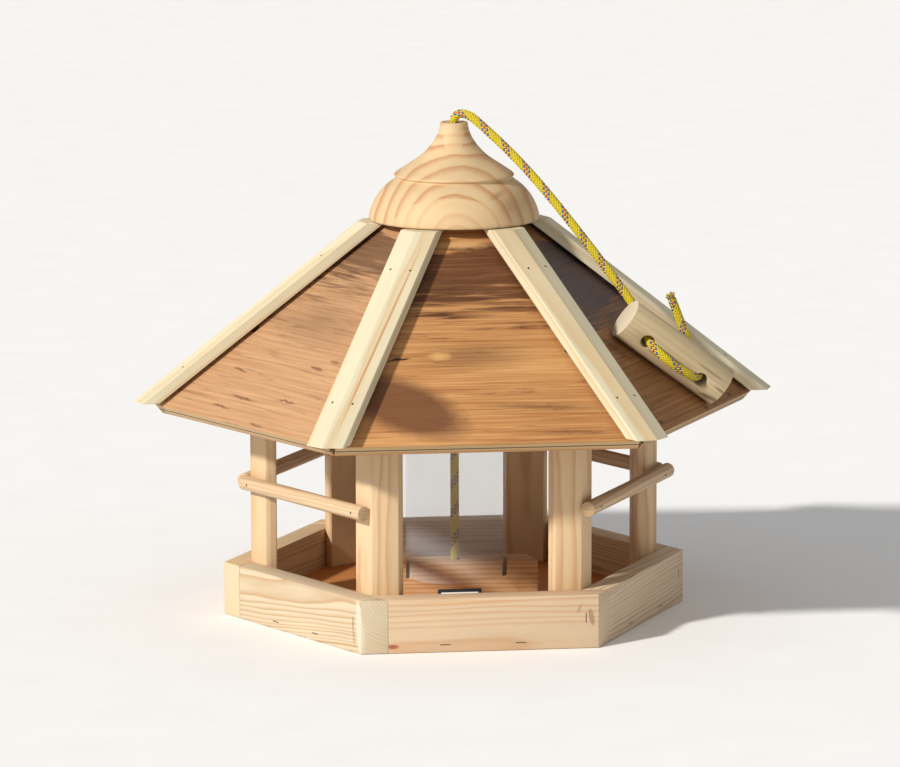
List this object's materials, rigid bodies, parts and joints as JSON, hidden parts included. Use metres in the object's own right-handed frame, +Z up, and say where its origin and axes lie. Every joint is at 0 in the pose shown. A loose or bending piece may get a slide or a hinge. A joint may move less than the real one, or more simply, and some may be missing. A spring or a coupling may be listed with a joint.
{
  "type": "hanging hexagonal bird feeder",
  "caption": "Hexagonal wooden hanging bird feeder: open seed tray with perches, clear seed tube, scorched plywood roof with hip battens, turned lift-up cap, and rope with a toggle.",
  "frame": {"origin": "centre of the tray's underside, in the plane that it rests on", "axes": "+Z up along the rope and the seed tube, -Y out of the front side, +X to the right as seen from the front, through two opposite corners"},
  "size_m": [0.4368, 0.3828, 0.3509],
  "materials": {
    "pine": "planed softwood, clear",
    "dowel_wood": "smooth dowel",
    "roof_plywood": "plywood with scorched grain",
    "floor_plywood": "plain plywood",
    "cap_wood": "turned softwood",
    "toggle_wood": "weathered round wood",
    "steel_fasteners": "plain wire",
    "clear_plastic": "clear, glossy",
    "rope_fibre": "braided, with coloured flecks",
    "label_card": "blank card with a dark edge"
  },
  "bodies": {
    "frame": {"batten_nails": "steel_fasteners", "blank_label": "label_card", "corner_post_back_left": "pine", "corner_post_back_right": "pine", "corner_post_front_left": "pine", "corner_post_front_right": "pine", "corner_post_left": "pine", "corner_post_right": "pine", "corner_staples": "steel_fasteners", "floor_screws": "steel_fasteners", "floor_staples": "steel_fasteners", "holder_screws": "steel_fasteners", "inner_rope": "rope_fibre", "perch_back_left": "dowel_wood", "perch_back_right": "dowel_wood", "perch_front_left": "dowel_wood", "perch_front_right": "dowel_wood", "perch_nails": "steel_fasteners", "roof_batten_back_left": "pine", "roof_batten_back_right": "pine", "roof_batten_front_left": "pine", "roof_batten_front_right": "pine", "roof_batten_left": "pine", "roof_batten_right": "pine", "roof_panel_back": "roof_plywood", "roof_panel_back_left": "roof_plywood", "roof_panel_back_right": "roof_plywood", "roof_panel_front": "roof_plywood", "roof_panel_front_left": "roof_plywood", "roof_panel_front_right": "roof_plywood", "roof_screws": "steel_fasteners", "rope_knot": "rope_fibre", "tray_board_back": "pine", "tray_board_back_left": "pine", "tray_board_back_right": "pine", "tray_board_front": "pine", "tray_board_front_left": "pine", "tray_board_front_right": "pine", "tray_floor": "floor_plywood", "tube_holder_bar": "pine"},
    "seed_tube": {"silo_tube": "clear_plastic"},
    "cap": {"roof_cap": "cap_wood", "hanging_rope": "rope_fibre", "toggle": "toggle_wood"}
  },
  "joints": [
    {"name": "tube_lift", "type": "slide", "parent": "frame", "child": "seed_tube", "axis": [0, 0, 1], "range_m": [0, 0.015]},
    {"name": "cap_lift", "type": "slide", "parent": "seed_tube", "child": "cap", "axis": [0, 0, 1], "range_m": [0, 0.045]}
  ]
}
